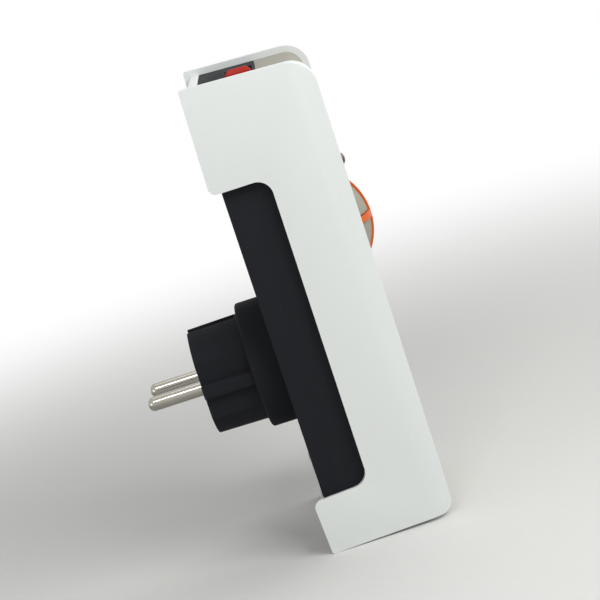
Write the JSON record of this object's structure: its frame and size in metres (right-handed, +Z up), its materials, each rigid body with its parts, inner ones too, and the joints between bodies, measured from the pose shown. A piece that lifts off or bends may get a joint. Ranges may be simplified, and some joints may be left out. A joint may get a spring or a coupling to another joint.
{
  "type": "plug-in power meter",
  "caption": "Long plug-in power meter: white side cheeks, grey fascia with display, domed key pad and outlet, black rear housing with a round mains plug, rocker switch on top",
  "frame": {"origin": "on the mains plug's axis, in the plane where its collar seats against a wall outlet", "axes": "+Z up along the housing's length, +Y out along the plug's pins, the display and outlet face -Y, +X to the right seen from the front"},
  "size_m": [0.068, 0.0896, 0.1576],
  "materials": {
    "white_plastic": "satin moulded white",
    "grey_plastic": "fine matte warm grey",
    "black_plastic": "satin black",
    "nickel": "bright nickel plate",
    "brass": "bare",
    "window": "clear acrylic",
    "display": "liquid crystal cell",
    "light_plastic": "white diffuser",
    "board": "solder mask",
    "lamp": "dark red lens",
    "orange_plastic": "satin orange",
    "key_plastic": "matte key grey",
    "dark_rubber": "silicone",
    "red_plastic": "glossy red",
    "relay_case": "blue case",
    "yellow_case": "yellow case",
    "fuse_glass": "glass tube",
    "copper_alloy": "bare alloy strip",
    "chip_case": "moulded package",
    "steel": "zinc plated"
  },
  "bodies": {
    "housing": {"left_cheek": "white_plastic", "right_cheek": "white_plastic", "upper_rear_cap": "white_plastic", "lower_rear_cap": "white_plastic", "fascia": "grey_plastic", "outlet_cup": "grey_plastic", "outlet_floor": "grey_plastic", "rear_housing": "black_plastic", "plug_body": "black_plastic", "switch_frame": "black_plastic", "line_pin": "nickel", "neutral_pin": "nickel", "plug_earth_clips": "nickel", "outlet_earth_clips": "nickel", "fuse_clips": "nickel", "backup_cell": "nickel", "line_sleeve": "brass", "neutral_sleeve": "brass", "earth_straps": "brass", "live_inlet_bar": "brass", "live_outlet_bar": "brass", "neutral_bar": "brass", "switch_terminals": "brass", "display_window": "window", "lcd_panel": "display", "backlight": "light_plastic", "display_board": "board", "power_board": "board", "status_lamp": "lamp", "keypad_bezel": "orange_plastic", "keypad_mat": "dark_rubber", "relay": "relay_case", "varistor": "relay_case", "transformer": "yellow_case", "film_capacitor": "yellow_case", "fuse": "fuse_glass", "shunt": "copper_alloy", "controller_chip": "chip_case", "housing_screws": "steel", "board_screws": "steel"},
    "key_upper_right_body": {"key_upper_right": "key_plastic"},
    "key_lower_right_body": {"key_lower_right": "key_plastic"},
    "key_lower_left_body": {"key_lower_left": "key_plastic"},
    "key_upper_left_body": {"key_upper_left": "key_plastic"},
    "rocker_body": {"rocker": "red_plastic"}
  },
  "joints": [
    {"name": "press_upper_right", "type": "slide", "parent": "housing", "child": "key_upper_right_body", "axis": [0, 1, 0], "range_m": [0, 0.0008], "stiffness_N_per_m": 600},
    {"name": "press_lower_right", "type": "slide", "parent": "housing", "child": "key_lower_right_body", "axis": [0, 1, 0], "range_m": [0, 0.0008], "stiffness_N_per_m": 600},
    {"name": "press_lower_left", "type": "slide", "parent": "housing", "child": "key_lower_left_body", "axis": [0, 1, 0], "range_m": [0, 0.0008], "stiffness_N_per_m": 600},
    {"name": "press_upper_left", "type": "slide", "parent": "housing", "child": "key_upper_left_body", "axis": [0, 1, 0], "range_m": [0, 0.0008], "stiffness_N_per_m": 600},
    {"name": "rock_switch", "type": "hinge", "parent": "housing", "child": "rocker_body", "pos_m": [0, -0.02574, 0.09306], "axis": [0, -0.9988, -0.0498], "range_deg": [0, 16]}
  ]
}
